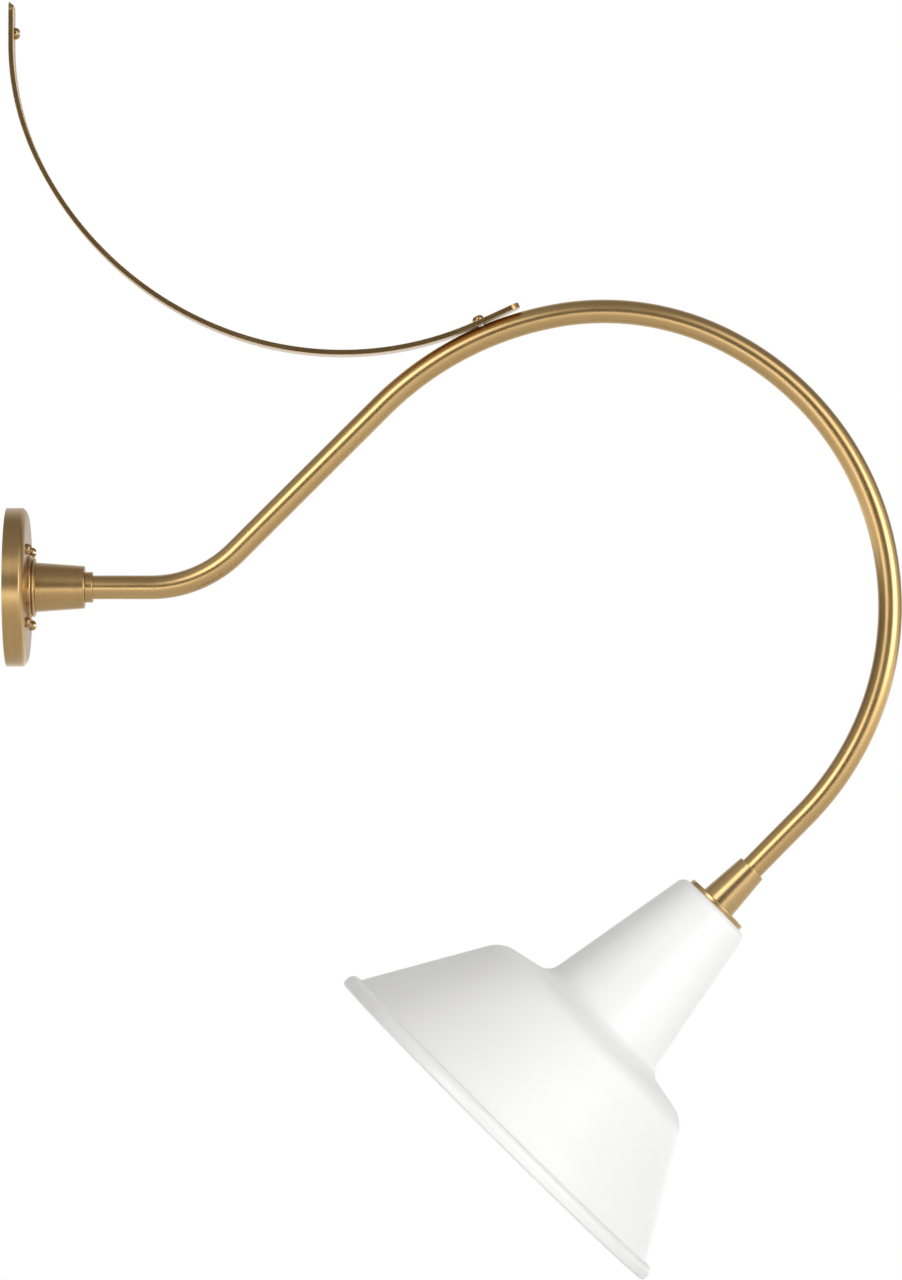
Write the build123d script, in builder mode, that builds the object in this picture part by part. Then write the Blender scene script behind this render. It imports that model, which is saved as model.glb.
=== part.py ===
from build123d import *
import os
from math import atan2, cos, pi, radians, sin

# Gooseneck picture light with a wall brace and a warehouse shade.
# Millimetres. The origin is the centre of the wall plate's back face, +X points out
# from the wall, +Z is up and the arm lies in the plane Y = 0.

os.makedirs("parts", exist_ok=True)

# ---------------------------------------------------------------- driving dimensions
# wall plate
plate_radius = 63.5
plate_depth = 17.4
plate_edge_start = 13.3
plate_flat_radius = 55.5
plate_sheet = 1.5
plate_screw_circle = 41.4
plate_screw_count = 4
plate_screw_angle = 45.0
backing_radius = 58.5
backing_sheet = 2.0
box_screw_spacing = 88.9
box_slot_length = 12.0
box_slot_radius = 2.5
supply_hole_radius = 18.0

# hub, outwards from the plate
hub_ring_radius = 25.6
hub_ring_depth = 2.8
hub_bead_radius = 23.8
hub_bead_depth = 3.2
hub_cone_back_radius = 19.9
hub_cone_front_radius = 17.0
hub_cone_length = 39.3
hub_wall = 2.2
hub_collar_radius = 12.3
hub_collar_length = 6.5

# gooseneck tube, 3/4 inch
tube_radius = 9.525
tube_wall = 1.2
foot_start = 115.6
foot_radius = 95.7
foot_turn = 45.0
rise_length = 165.1
crown_radii = (265.0, 215.9, 238.5)
crown_turns = (34.8, 35.6, 109.25)
shade_drop = 102.5

# brace strap, its radii measured on the face towards the wall and the tube
brace_width = 25.4
brace_thickness = 4.2
brace_wall_gap = 0.9
brace_radii = (216.6, 278.8, 263.5)
brace_turns = (25.7, 46.2, 42.8)
brace_top_run = 33.9
brace_end_run = 42.6
brace_tube_gap = 0.05
brace_corner = 8.0
brace_wall_screw_inset = 25.2
brace_tube_screw_shift = 8.0
brace_end_bevel = 3.6

# coupling and cap disc above the shade
coupling_length = 38.7
coupling_top_radius = 12.2
coupling_bottom_radius = 15.4
coupling_wall = 2.4
disc_radius = 27.2
disc_thickness = 3.6

# shade, measured along its axis from the flat top
shade_sheet = 1.2
shade_top_radius = 34.0
shade_top_corner = 8.0
shade_neck_length = 130.5
shade_neck_radius = 57.4
shade_neck_corner = 14.0
shade_shoulder_length = 139.6
shade_shoulder_radius = 100.8
shade_shoulder_corner = 27.5
shade_skirt_length = 240.6
shade_skirt_radius = 159.7
shade_crease_corner = 1.2
shade_lip_start = 241.7
shade_lip_corner = 6.0
shade_rim_radius = 168.3
shade_rim_corner = 2.5
shade_length = 252.7
shade_hem = 4.5

# lampholder, measured along the shade's axis from the flat top
holder_cup_top = 8.0
holder_cup_end = 32.0
holder_cup_radius = 20.2
holder_cup_sheet = 1.0
holder_top = 26.0
holder_floor = 33.0
holder_end = 60.0
holder_radius = 19.0
holder_bore = 14.2
terminal_offset = 12.0
terminal_shank = 2.0
terminal_head_radius = 3.5
terminal_head_height = 2.2

# medium Edison screw shell and bulb
shell_inner_radius = 13.3
shell_wall = 0.5
bulb_cap_radius = 12.95
bulb_cap_wall = 0.4
bulb_cap_start = 36.5
bulb_neck_radius = 12.45
bulb_radius = 30.0
bulb_centre = 113.0
bulb_glass_wall = 0.8

# hardware
screw_shank = 2.5
screw_head_radius = 4.25
screw_head_height = 4.6
slot_width = 1.4
slot_depth = 2.1
wire_radius = 1.0
wire_offset = 1.5
wire_bend = 6.0
washer_sheet = 0.8
edge_break = 0.8
fit_gap = 0.025
tip_gap = 0.1
body_gap = 0.3
thread_relief = 1.0

# ---------------------------------------------------------------- reference geometry
tube_bore = tube_radius - tube_wall
hub_cone_back = plate_depth + hub_ring_depth + hub_bead_depth
hub_cone_front = hub_cone_back + hub_cone_length


def arm_route(start, last_run, side=0.0):
    """Centre line of the gooseneck at y = side, from x = start to last_run past the crown."""
    foot = (foot_start, 0.0)
    with BuildLine(Plane.XZ.offset(-side)) as route:
        run = Line((start, 0.0), foot)
        bend = JernArc(run @ 1, run % 1, foot_radius, foot_turn)
        rise = Line(bend @ 1, bend @ 1 + (bend % 1) * rise_length)
        last = rise
        for radius, turn in zip(crown_radii, crown_turns):
            last = JernArc(last @ 1, last % 1, radius, -turn)
        Line(last @ 1, last @ 1 + (last % 1) * last_run)
    return route.line


tube_route = arm_route(plate_depth, shade_drop)
shade_top = tube_route @ 1
shade_axis_dir = tube_route % 1
shade_axis = Axis(shade_top, shade_axis_dir)
# local x runs along the shade's axis towards its mouth, local y is the radius
shade_plane = Plane(origin=shade_top, x_dir=shade_axis_dir, z_dir=(0, 1, 0))
# looks along the shade's axis, for features drawn across it
shade_across = Plane(origin=shade_top, x_dir=(0, 1, 0), z_dir=shade_axis_dir)


def hex_radius(across_flats):
    """Corner radius of a hexagon, from its size across flats."""
    return across_flats / 2 / cos(pi / 6)


def slotted_screw(head_radius, head_height, shank_length):
    """Slotted round-head screw: head above z = 0, slot along local x, shank below."""
    with BuildPart() as screw:
        with BuildSketch():
            Circle(head_radius)
        extrude(amount=head_height)
        fillet(screw.edges().sort_by(Axis.Z)[-1], radius=0.75 * head_height)
        with BuildSketch():
            Circle(screw_shank)
        extrude(amount=-shank_length)
        with BuildSketch(Plane.XY.offset(head_height - slot_depth)):
            Rectangle(3 * head_radius, slot_width)
        extrude(amount=slot_depth, mode=Mode.SUBTRACT)
    return screw.part


def turned_face(*corners):
    """Closed outline in the shade's plane, as (distance along the axis, radius) corners."""
    with BuildSketch(shade_plane) as profile:
        with BuildLine():
            Polyline(*corners, close=True)
        make_face()
    return profile.sketch


# ---------------------------------------------------------------- wall plate
hub_stem_radius = tube_bore - fit_gap
plate_inside = plate_depth - plate_sheet

# the rim meets a rounded edge that runs out flush with the flat front
edge_rise = plate_depth - plate_edge_start
edge_run = plate_radius - plate_flat_radius
plate_edge_radius = (edge_rise**2 + edge_run**2) / (2 * edge_rise)
edge_centre_x = plate_depth - plate_edge_radius
edge_angle = atan2(edge_run, plate_edge_start - edge_centre_x)
half_angle = edge_angle / 2
edge_middle = (
    edge_centre_x + plate_edge_radius * cos(half_angle),
    plate_flat_radius + plate_edge_radius * sin(half_angle),
)

with BuildPart() as wall_plate:
    with BuildSketch(Plane.XZ):
        with BuildLine():
            Line((0, plate_radius), (plate_edge_start, plate_radius))
            ThreePointArc(
                (plate_edge_start, plate_radius), edge_middle, (plate_depth, plate_flat_radius)
            )
            Line((plate_depth, plate_flat_radius), (plate_depth, hub_stem_radius + body_gap))
            offset(amount=plate_sheet, side=Side.RIGHT)
        make_face()
    revolve(axis=Axis.X)
    with BuildSketch(Plane.YZ):
        with PolarLocations(plate_screw_circle, plate_screw_count, start_angle=plate_screw_angle):
            Circle(screw_shank + body_gap)
    extrude(amount=plate_depth, mode=Mode.SUBTRACT)

# steel disc behind the plate, screwed to the outlet box in the wall
ground_screw_z = -24.0
ground_shank = 2.0
ground_head_height = 3.2

with BuildPart() as backing_disc:
    with BuildSketch(Plane.YZ):
        Circle(backing_radius)
        Circle(supply_hole_radius, mode=Mode.SUBTRACT)
        with Locations((box_screw_spacing / 2, 0), (-box_screw_spacing / 2, 0)):
            SlotOverall(box_slot_length, 2 * box_slot_radius, mode=Mode.SUBTRACT)
        with Locations((0, ground_screw_z)):
            Circle(ground_shank + fit_gap, mode=Mode.SUBTRACT)
    extrude(amount=backing_sheet)

# four threaded posts that carry the plate off the backing disc
post_radius = 4.5

with BuildPart() as plate_posts:
    with BuildSketch(Plane.YZ.offset(backing_sheet)):
        with PolarLocations(plate_screw_circle, plate_screw_count, start_angle=plate_screw_angle):
            Circle(post_radius)
            Circle(screw_shank + fit_gap, mode=Mode.SUBTRACT)
    extrude(amount=plate_inside - backing_sheet)

plate_screw_length = plate_depth - 2 * backing_sheet
plate_screw = slotted_screw(screw_head_radius, screw_head_height, plate_screw_length)
with BuildPart(Plane.YZ.offset(plate_depth)) as plate_screws:
    with PolarLocations(plate_screw_circle, plate_screw_count, plate_screw_angle, rotate=False):
        add(plate_screw)

# ---------------------------------------------------------------- hub
tube_clear = tube_radius + fit_gap

with BuildPart() as hub_base_ring:
    with BuildSketch(Plane.XZ):
        ring_top = plate_depth + hub_ring_depth
        bead_radius = hub_bead_depth / 2
        with BuildLine():
            Polyline(
                (plate_depth, tube_clear),
                (plate_depth, hub_ring_radius),
                (ring_top, hub_ring_radius),
                (ring_top, hub_bead_radius - bead_radius),
            )
            ThreePointArc(
                (ring_top, hub_bead_radius - bead_radius),
                (ring_top + bead_radius, hub_bead_radius),
                (hub_cone_back, hub_bead_radius - bead_radius),
            )
            Polyline(
                (hub_cone_back, hub_bead_radius - bead_radius),
                (hub_cone_back, tube_clear),
                (plate_depth, tube_clear),
            )
        make_face()
    revolve(axis=Axis.X)
    ring_edges = hub_base_ring.edges().filter_by(GeomType.CIRCLE)
    outer_ring_edges = ring_edges.filter_by(lambda e: e.radius > hub_ring_radius - 0.1)
    fillet(outer_ring_edges.sort_by(Axis.X)[-1], radius=edge_break)

with BuildPart() as hub_cone:
    with BuildSketch(Plane.XZ):
        with BuildLine():
            Polyline(
                (hub_cone_back, hub_cone_back_radius - hub_wall),
                (hub_cone_back, hub_cone_back_radius),
                (hub_cone_front - edge_break, hub_cone_front_radius),
                (hub_cone_front, hub_cone_front_radius - edge_break),
                (hub_cone_front, tube_clear),
                (hub_cone_front - 2 * hub_wall, tube_clear),
                (hub_cone_front - 2 * hub_wall, hub_cone_front_radius - hub_wall),
                close=True,
            )
        make_face()
    revolve(axis=Axis.X)

with BuildPart() as hub_collar:
    with BuildSketch(Plane.YZ.offset(hub_cone_front)):
        Circle(hub_collar_radius)
    extrude(amount=hub_collar_length)
    chamfer(hub_collar.edges(), length=edge_break / 2)
    with BuildSketch(Plane.YZ.offset(hub_cone_front)):
        Circle(tube_clear)
    extrude(amount=hub_collar_length, mode=Mode.SUBTRACT)

# hollow threaded stem that ties the tube and hub to the plate, with its nut and washer
stem_nut_depth = 2.8
stem_nut_flats = 23.0
stem_past_nut = 0.5
stem_short_of_cone = 8.0
stem_wall = 2.0
stem_back = plate_inside - washer_sheet - stem_nut_depth - stem_past_nut
stem_front = hub_cone_front - stem_short_of_cone
stem_bore = hub_stem_radius - stem_wall
stem_washer_radius = 12.8

with BuildPart() as hub_stem:
    with BuildSketch(Plane.YZ.offset(stem_back)):
        Circle(hub_stem_radius)
        Circle(stem_bore, mode=Mode.SUBTRACT)
    extrude(amount=stem_front - stem_back)

with BuildPart() as stem_washer:
    with BuildSketch(Plane.YZ.offset(plate_inside - washer_sheet)):
        Circle(stem_washer_radius)
        Circle(hub_stem_radius + fit_gap, mode=Mode.SUBTRACT)
    extrude(amount=washer_sheet)

with BuildPart() as stem_locknut:
    with BuildSketch(Plane.YZ.offset(plate_inside - washer_sheet - stem_nut_depth)):
        RegularPolygon(hex_radius(stem_nut_flats), 6)
        Circle(hub_stem_radius + fit_gap, mode=Mode.SUBTRACT)
    extrude(amount=stem_nut_depth)

# ---------------------------------------------------------------- gooseneck tube
coupling_top = shade_drop - disc_thickness - coupling_length
tube_end_inside = 16.0
tube_path = arm_route(plate_depth, coupling_top + tube_end_inside)

# the straight end of the brace is tangent to the crown of the tube
brace_slope = sum(brace_turns) - 90.0
first_crown_arc = tube_path.edges()[3]
contact = first_crown_arc @ ((foot_turn - brace_slope) / crown_turns[0])
slope_dir = Vector(cos(radians(brace_slope)), 0, sin(radians(brace_slope)))
slope_up = Vector(-sin(radians(brace_slope)), 0, cos(radians(brace_slope)))
screw_on_tube = contact + slope_up * tube_radius + slope_dir * brace_tube_screw_shift
insert_plane = Plane(origin=screw_on_tube, x_dir=slope_dir, z_dir=slope_up)
insert_radius = 3.6
insert_length = 7.0

with BuildPart() as gooseneck_tube:
    with BuildSketch(Plane(origin=tube_path @ 0, z_dir=tube_path % 0)):
        Circle(tube_radius)
        Circle(tube_bore, mode=Mode.SUBTRACT)
    sweep(path=tube_path)
    with BuildSketch(insert_plane.offset(-2 * tube_wall)):
        Circle(insert_radius + fit_gap)
    extrude(amount=4 * tube_wall, mode=Mode.SUBTRACT)

# threaded insert riveted into the top of the tube
with BuildPart() as brace_insert:
    with BuildSketch(insert_plane.offset(-insert_length)):
        Circle(insert_radius)
        Circle(screw_shank + fit_gap, mode=Mode.SUBTRACT)
    extrude(amount=insert_length)

# ---------------------------------------------------------------- brace strap
strap_on_tube = contact + slope_up * (tube_radius + brace_tube_gap)


def strap_face(start_z, end_run):
    """Face of the strap towards the wall and tube, as (x, z), its bends starting at start_z."""
    with BuildLine() as route:
        last = Line((brace_wall_gap, start_z + brace_top_run), (brace_wall_gap, start_z))
        for radius, turn in zip(brace_radii, brace_turns):
            last = JernArc(last @ 1, last % 1, radius, turn)
        if end_run > 0:
            Line(last @ 1, last @ 1 + (last % 1) * end_run)
    return route.line


# the bends hang from the wall end at the height that lays the sloping end on the tube
bends_end = strap_face(0.0, 0.0) @ 1
to_tube = strap_on_tube - Vector(bends_end.X, 0, bends_end.Y)
strap_start_z = to_tube.dot(slope_up) / slope_up.Z
slope_start = Vector(bends_end.X, 0, bends_end.Y + strap_start_z)
strap_slope_run = (strap_on_tube - slope_start).dot(slope_dir) + brace_end_run
strap_outline = strap_face(strap_start_z, strap_slope_run)
strap_top_z = strap_start_z + brace_top_run
wall_screw_z = strap_top_z - brace_wall_screw_inset
strap_front_x = brace_wall_gap + brace_thickness
wall_screw_plane = Plane(origin=(strap_front_x, 0, wall_screw_z), x_dir=(0, 1, 0), z_dir=(1, 0, 0))
strap_top_on_tube = screw_on_tube + slope_up * (brace_tube_gap + brace_thickness)
tube_screw_plane = Plane(origin=strap_top_on_tube, x_dir=slope_dir, z_dir=slope_up)

with BuildPart() as brace_strap:
    with BuildSketch(Plane.XZ):
        with BuildLine():
            add(strap_outline)
            offset(amount=brace_thickness, side=Side.LEFT)
        make_face()
    extrude(amount=brace_width / 2, both=True)
    across_edges = brace_strap.edges().filter_by(GeomType.LINE).filter_by(
        lambda edge: abs(edge.length - brace_thickness) < 0.01
    )
    fillet(across_edges, radius=brace_corner)
    # bevel on the room side of the wall end
    with BuildSketch(Plane.XZ):
        with BuildLine():
            Polyline(
                (strap_front_x - brace_end_bevel, strap_top_z),
                (strap_front_x, strap_top_z),
                (strap_front_x, strap_top_z - brace_end_bevel),
                close=True,
            )
        make_face()
    extrude(amount=brace_width, both=True, mode=Mode.SUBTRACT)
    for hole_plane in (wall_screw_plane, tube_screw_plane):
        with BuildSketch(hole_plane):
            Circle(screw_shank + body_gap)
        extrude(amount=-2 * brace_thickness, mode=Mode.SUBTRACT)

# domed nut that closes the wall end of the brace's wall screw
wall_nut_radius = 4.4
wall_nut_skin = 0.3
dome_x_share = 0.28
dome_z_share = 0.6

with BuildPart() as brace_wall_nut:
    with BuildSketch(Plane.XZ):
        with BuildLine():
            ThreePointArc(
                (0, wall_screw_z),
                (brace_wall_gap * dome_x_share, wall_screw_z + wall_nut_radius * dome_z_share),
                (brace_wall_gap, wall_screw_z + wall_nut_radius),
            )
            Polyline(
                (brace_wall_gap, wall_screw_z + wall_nut_radius),
                (brace_wall_gap, wall_screw_z),
                (0, wall_screw_z),
            )
        make_face()
    revolve(axis=Axis((0, 0, wall_screw_z), (1, 0, 0)))
    with BuildSketch(Plane.YZ.offset(wall_nut_skin)):
        with Locations((0, wall_screw_z)):
            Circle(screw_shank + fit_gap)
    extrude(amount=brace_wall_gap, mode=Mode.SUBTRACT)

brace_head_radius = 4.8
brace_head_height = 4.5
wall_screw_shank = strap_front_x - wall_nut_skin - tip_gap
wall_screw = slotted_screw(brace_head_radius, brace_head_height, wall_screw_shank)

with BuildPart(wall_screw_plane) as brace_wall_screw:
    add(wall_screw)

tube_screw_head_height = 4.3
tube_screw_shank = brace_thickness + brace_tube_gap + insert_length - thread_relief
tube_screw = slotted_screw(brace_head_radius, tube_screw_head_height, tube_screw_shank)

with BuildPart(tube_screw_plane) as brace_tube_screw:
    add(tube_screw)

# ---------------------------------------------------------------- coupling above the shade
cone_top = -disc_thickness - coupling_length
cone_end = -disc_thickness
tube_end = cone_top + tube_end_inside
cone_chamfer = edge_break / 2

with BuildPart() as coupling_cone:
    add(turned_face(
        (cone_top, tube_clear),
        (cone_top, coupling_top_radius - cone_chamfer),
        (cone_top + cone_chamfer, coupling_top_radius),
        (cone_end, coupling_bottom_radius),
        (cone_end, coupling_bottom_radius - coupling_wall),
        (tube_end + coupling_wall, coupling_bottom_radius - coupling_wall),
        (tube_end + coupling_wall, tube_bore),
        (tube_end, tube_bore),
        (tube_end, tube_clear),
    ))
    revolve(axis=shade_axis)

stem_radius = 4.9
stem_hole = 3.6
bush_length = 14.0
shade_stem_start = tube_end - bush_length + thread_relief
shade_stem_end = 14.0

# bush brazed into the end of the tube, threaded for the stem
with BuildPart() as tube_end_bush:
    with BuildSketch(shade_across.offset(tube_end - bush_length)):
        Circle(tube_bore - fit_gap)
        Circle(stem_radius + fit_gap, mode=Mode.SUBTRACT)
    extrude(amount=bush_length)

with BuildPart() as shade_stem:
    with BuildSketch(shade_across.offset(shade_stem_start)):
        Circle(stem_radius)
        Circle(stem_hole, mode=Mode.SUBTRACT)
    extrude(amount=shade_stem_end - shade_stem_start)

with BuildPart() as cap_disc:
    with BuildSketch(shade_across.offset(-disc_thickness)):
        Circle(disc_radius)
    extrude(amount=disc_thickness)
    fillet(cap_disc.edges(), radius=edge_break)
    with BuildSketch(shade_across.offset(-disc_thickness)):
        Circle(stem_radius + fit_gap)
    extrude(amount=disc_thickness, mode=Mode.SUBTRACT)

# ---------------------------------------------------------------- shade
with BuildPart() as shade:
    with BuildSketch(shade_plane):
        with BuildLine():
            FilletPolyline(
                (0, stem_radius + body_gap),
                (0, shade_top_radius),
                (shade_neck_length, shade_neck_radius),
                (shade_shoulder_length, shade_shoulder_radius),
                (shade_skirt_length, shade_skirt_radius),
                (shade_lip_start, shade_rim_radius),
                (shade_length, shade_rim_radius),
                (shade_length, shade_rim_radius - shade_hem),
                radius=[
                    shade_top_corner,
                    shade_neck_corner,
                    shade_shoulder_corner,
                    shade_crease_corner,
                    shade_lip_corner,
                    shade_rim_corner,
                ],
            )
            offset(amount=shade_sheet, side=Side.RIGHT)
        make_face()
    revolve(axis=shade_axis)

shade_nut_depth = 4.0
shade_nut_flats = 17.0
shade_washer_radius = 9.9

with BuildPart() as shade_washer:
    with BuildSketch(shade_across.offset(shade_sheet)):
        Circle(shade_washer_radius)
        Circle(stem_radius + fit_gap, mode=Mode.SUBTRACT)
    extrude(amount=washer_sheet)

with BuildPart() as shade_locknut:
    with BuildSketch(shade_across.offset(shade_sheet + washer_sheet)):
        RegularPolygon(hex_radius(shade_nut_flats), 6)
        Circle(stem_radius + fit_gap, mode=Mode.SUBTRACT)
    extrude(amount=shade_nut_depth)

# ---------------------------------------------------------------- lampholder
holder_cup_corner = 5.0
holder_lip_corner = 1.5
terminal_hole_depth = 5.0
shell_foot_radius = 7.0
shell_end = holder_end - thread_relief

with BuildPart() as lampholder_cup:
    with BuildSketch(shade_across.offset(holder_cup_top)):
        Circle(holder_cup_radius)
    extrude(amount=holder_cup_end - holder_cup_top)
    cup_ends = lampholder_cup.faces().filter_by(GeomType.PLANE).sort_by(shade_axis)
    fillet(cup_ends[0].edges(), radius=holder_cup_corner)
    cup_ends = lampholder_cup.faces().filter_by(GeomType.PLANE).sort_by(shade_axis)
    offset(amount=-holder_cup_sheet, openings=cup_ends[-1])
    with BuildSketch(shade_across.offset(holder_cup_top)):
        Circle(stem_radius + fit_gap)
    extrude(amount=2 * holder_cup_sheet, mode=Mode.SUBTRACT)

with BuildPart() as lampholder_body:
    with BuildSketch(shade_across.offset(holder_top)):
        Circle(holder_radius)
    extrude(amount=holder_end - holder_top)
    body_ends = lampholder_body.faces().filter_by(GeomType.PLANE).sort_by(shade_axis)
    fillet(body_ends[-1].edges(), radius=holder_lip_corner)
    with BuildSketch(shade_across.offset(holder_floor)):
        Circle(holder_bore)
    extrude(amount=holder_end - holder_floor, mode=Mode.SUBTRACT)
    with BuildSketch(shade_across.offset(holder_top)):
        with Locations((terminal_offset, 0), (-terminal_offset, 0)):
            Circle(terminal_shank + fit_gap)
    extrude(amount=terminal_hole_depth, mode=Mode.SUBTRACT)

# threaded brass shell that takes the bulb, and the spring tongue at its foot
with BuildPart() as screw_shell:
    add(turned_face(
        (holder_floor, shell_foot_radius),
        (holder_floor, shell_inner_radius + shell_wall),
        (shell_end, shell_inner_radius + shell_wall),
        (shell_end, shell_inner_radius),
        (holder_floor + shell_wall, shell_inner_radius),
        (holder_floor + shell_wall, shell_foot_radius),
    ))
    revolve(axis=shade_axis)

tongue_sheet = 0.4
tongue_width = 6.0
tongue_half = 5.0
tongue_rise = 2.1
tongue_bend = 2.0
tongue_top = holder_floor + tongue_rise

with BuildPart() as centre_contact:
    with BuildSketch(shade_plane):
        with BuildLine():
            Polyline(
                (holder_floor, -tongue_half),
                (holder_floor, tongue_half - tongue_bend),
                (tongue_top, tongue_half),
                (tongue_top, tongue_bend - tongue_half),
            )
            offset(amount=tongue_sheet, side=Side.LEFT)
        make_face()
    extrude(amount=tongue_width / 2, both=True)

# the wires lie under the heads of the terminal screws
terminal_head = holder_top - 2 * wire_radius - tip_gap
terminal_tip = holder_top + terminal_hole_depth - thread_relief

with BuildPart() as terminal_screws:
    with BuildSketch(shade_across.offset(terminal_head)):
        with Locations((terminal_offset, 0), (-terminal_offset, 0)):
            Circle(terminal_head_radius)
    extrude(amount=-terminal_head_height)
    with BuildSketch(shade_across.offset(terminal_head)):
        with Locations((terminal_offset, 0), (-terminal_offset, 0)):
            Circle(terminal_shank)
    extrude(amount=terminal_tip - terminal_head)

# ---------------------------------------------------------------- wiring
connector_radius = 3.0
connector_length = 14.0
connector_y = 18.0
connector_grip = 6.0
cavity_x = backing_sheet + body_gap + connector_radius
wire_end_y = terminal_offset - terminal_shank - body_gap
terminal_wire = holder_top - wire_radius - fit_gap


def lead(side):
    """One lead, from its connector in the wall plate to its terminal in the lampholder."""
    arm = arm_route(plate_depth, shade_drop, side * wire_offset)
    with BuildLine() as cavity:
        FilletPolyline(
            (cavity_x, side * (connector_y + connector_grip), 0),
            (cavity_x, side * wire_offset, 0),
            (plate_depth, side * wire_offset, 0),
            radius=wire_bend,
        )
    holder_corner = shade_top + shade_axis_dir * terminal_wire
    with BuildLine() as holder:
        FilletPolyline(
            shade_top + Vector(0, side * wire_offset, 0),
            holder_corner + Vector(0, side * wire_offset, 0),
            holder_corner + Vector(0, side * wire_end_y, 0),
            radius=wire_bend,
        )
    with BuildPart() as wire:
        for route in (cavity.line, arm, holder.line):
            with BuildSketch(Plane(origin=route @ 0, z_dir=route % 0)):
                Circle(wire_radius)
            sweep(path=route)
    return wire.part


with BuildPart() as line_wire:
    add(lead(1))

with BuildPart() as neutral_wire:
    add(lead(-1))

with BuildPart() as wire_connectors:
    for side in (1, -1):
        across_y = Plane(origin=(cavity_x, side * connector_y, 0), z_dir=(0, side, 0))
        with BuildSketch(across_y):
            Circle(connector_radius)
        extrude(amount=connector_length)
        with BuildSketch(across_y):
            Circle(wire_radius + fit_gap)
        extrude(amount=connector_grip + body_gap, mode=Mode.SUBTRACT)

# hexagon-headed earth screw in the backing disc
ground_head_flats = 8.0

with BuildPart() as ground_screw:
    with BuildSketch(Plane.YZ.offset(body_gap)):
        with Locations((0, ground_screw_z)):
            Circle(ground_shank)
    extrude(amount=backing_sheet - body_gap)
    with BuildSketch(Plane.YZ.offset(backing_sheet)):
        with Locations((0, ground_screw_z)):
            RegularPolygon(hex_radius(ground_head_flats), 6)
    extrude(amount=ground_head_height)

# ---------------------------------------------------------------- bulb
insulator_radius = 8.0
insulator_dish = 0.4
insulator_slope = 0.8
insulator_start = bulb_cap_start - insulator_dish
contact_radius = 4.6
contact_start = tongue_top + body_gap
contact_corner = 0.6
cap_foot = 38.0
cap_foot_slope = 1.2

with BuildPart() as bulb_cap:
    add(turned_face(
        (bulb_cap_start, insulator_radius + fit_gap),
        (bulb_cap_start, insulator_radius + insulator_slope),
        (cap_foot + cap_foot_slope, bulb_cap_radius),
        (holder_end, bulb_cap_radius),
        (holder_end, bulb_cap_radius - bulb_cap_wall),
        (cap_foot + cap_foot_slope + bulb_cap_wall, bulb_cap_radius - bulb_cap_wall),
        (cap_foot, insulator_radius + fit_gap),
    ))
    revolve(axis=shade_axis)

with BuildPart() as bulb_insulator:
    add(turned_face(
        (insulator_start, contact_radius + fit_gap),
        (insulator_start, insulator_radius - insulator_slope),
        (bulb_cap_start, insulator_radius),
        (cap_foot, insulator_radius),
        (cap_foot, contact_radius + fit_gap),
    ))
    revolve(axis=shade_axis)

with BuildPart() as bulb_contact:
    with BuildSketch(shade_across.offset(contact_start)):
        Circle(contact_radius)
    extrude(amount=cap_foot - contact_start)
    tip = bulb_contact.faces().filter_by(GeomType.PLANE).sort_by(shade_axis)[0]
    fillet(tip.edges(), radius=contact_corner)

glass_seat = 8.0
throat_run = 1.0
glass_start = holder_end - glass_seat
throat_end = holder_end + throat_run
globe_join_angle = 60.0
globe_centre = Vector(bulb_centre, 0)
join_away = Vector(-cos(radians(globe_join_angle)), sin(radians(globe_join_angle)))
join_along = Vector(sin(radians(globe_join_angle)), cos(radians(globe_join_angle)))


def bulb_outline(inset):
    """Half outline of the envelope, drawn in by inset from its outer face."""
    neck = bulb_neck_radius - inset
    globe = bulb_radius - inset
    with BuildSketch(shade_plane) as outline:
        with BuildLine():
            foot = Line((glass_start + inset, 0), (glass_start + inset, neck))
            throat = Line(foot @ 1, (throat_end, neck))
            join = globe_centre + join_away * globe
            Spline(throat @ 1, join, tangents=(throat % 1, join_along))
            middle = globe_centre + join_along * globe
            tip = globe_centre + Vector(globe, 0)
            ThreePointArc(join, middle, tip)
            Line(tip, foot @ 0)
        make_face()
    return outline.sketch


with BuildPart() as bulb_glass:
    add(bulb_outline(0.0))
    revolve(axis=shade_axis)
    add(bulb_outline(bulb_glass_wall))
    revolve(axis=shade_axis, mode=Mode.SUBTRACT)

# ---------------------------------------------------------------- labels and files
pieces = {
    "wall_plate": wall_plate,
    "backing_disc": backing_disc,
    "plate_posts": plate_posts,
    "plate_screws": plate_screws,
    "ground_screw": ground_screw,
    "hub_base_ring": hub_base_ring,
    "hub_cone": hub_cone,
    "hub_collar": hub_collar,
    "hub_stem": hub_stem,
    "stem_washer": stem_washer,
    "stem_locknut": stem_locknut,
    "gooseneck_tube": gooseneck_tube,
    "brace_strap": brace_strap,
    "brace_insert": brace_insert,
    "brace_wall_screw": brace_wall_screw,
    "brace_wall_nut": brace_wall_nut,
    "brace_tube_screw": brace_tube_screw,
    "coupling_cone": coupling_cone,
    "tube_end_bush": tube_end_bush,
    "shade_stem": shade_stem,
    "cap_disc": cap_disc,
    "shade": shade,
    "shade_washer": shade_washer,
    "shade_locknut": shade_locknut,
    "lampholder_cup": lampholder_cup,
    "lampholder_body": lampholder_body,
    "screw_shell": screw_shell,
    "centre_contact": centre_contact,
    "terminal_screws": terminal_screws,
    "line_wire": line_wire,
    "neutral_wire": neutral_wire,
    "wire_connectors": wire_connectors,
    "bulb_cap": bulb_cap,
    "bulb_insulator": bulb_insulator,
    "bulb_contact": bulb_contact,
    "bulb_glass": bulb_glass,
}

for name, piece in pieces.items():
    piece.part.label = name
    export_step(piece.part, f"parts/{name}.step")
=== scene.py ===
from math import atan2, ceil, cos, degrees, hypot, pi, radians, sin, tan

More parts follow.
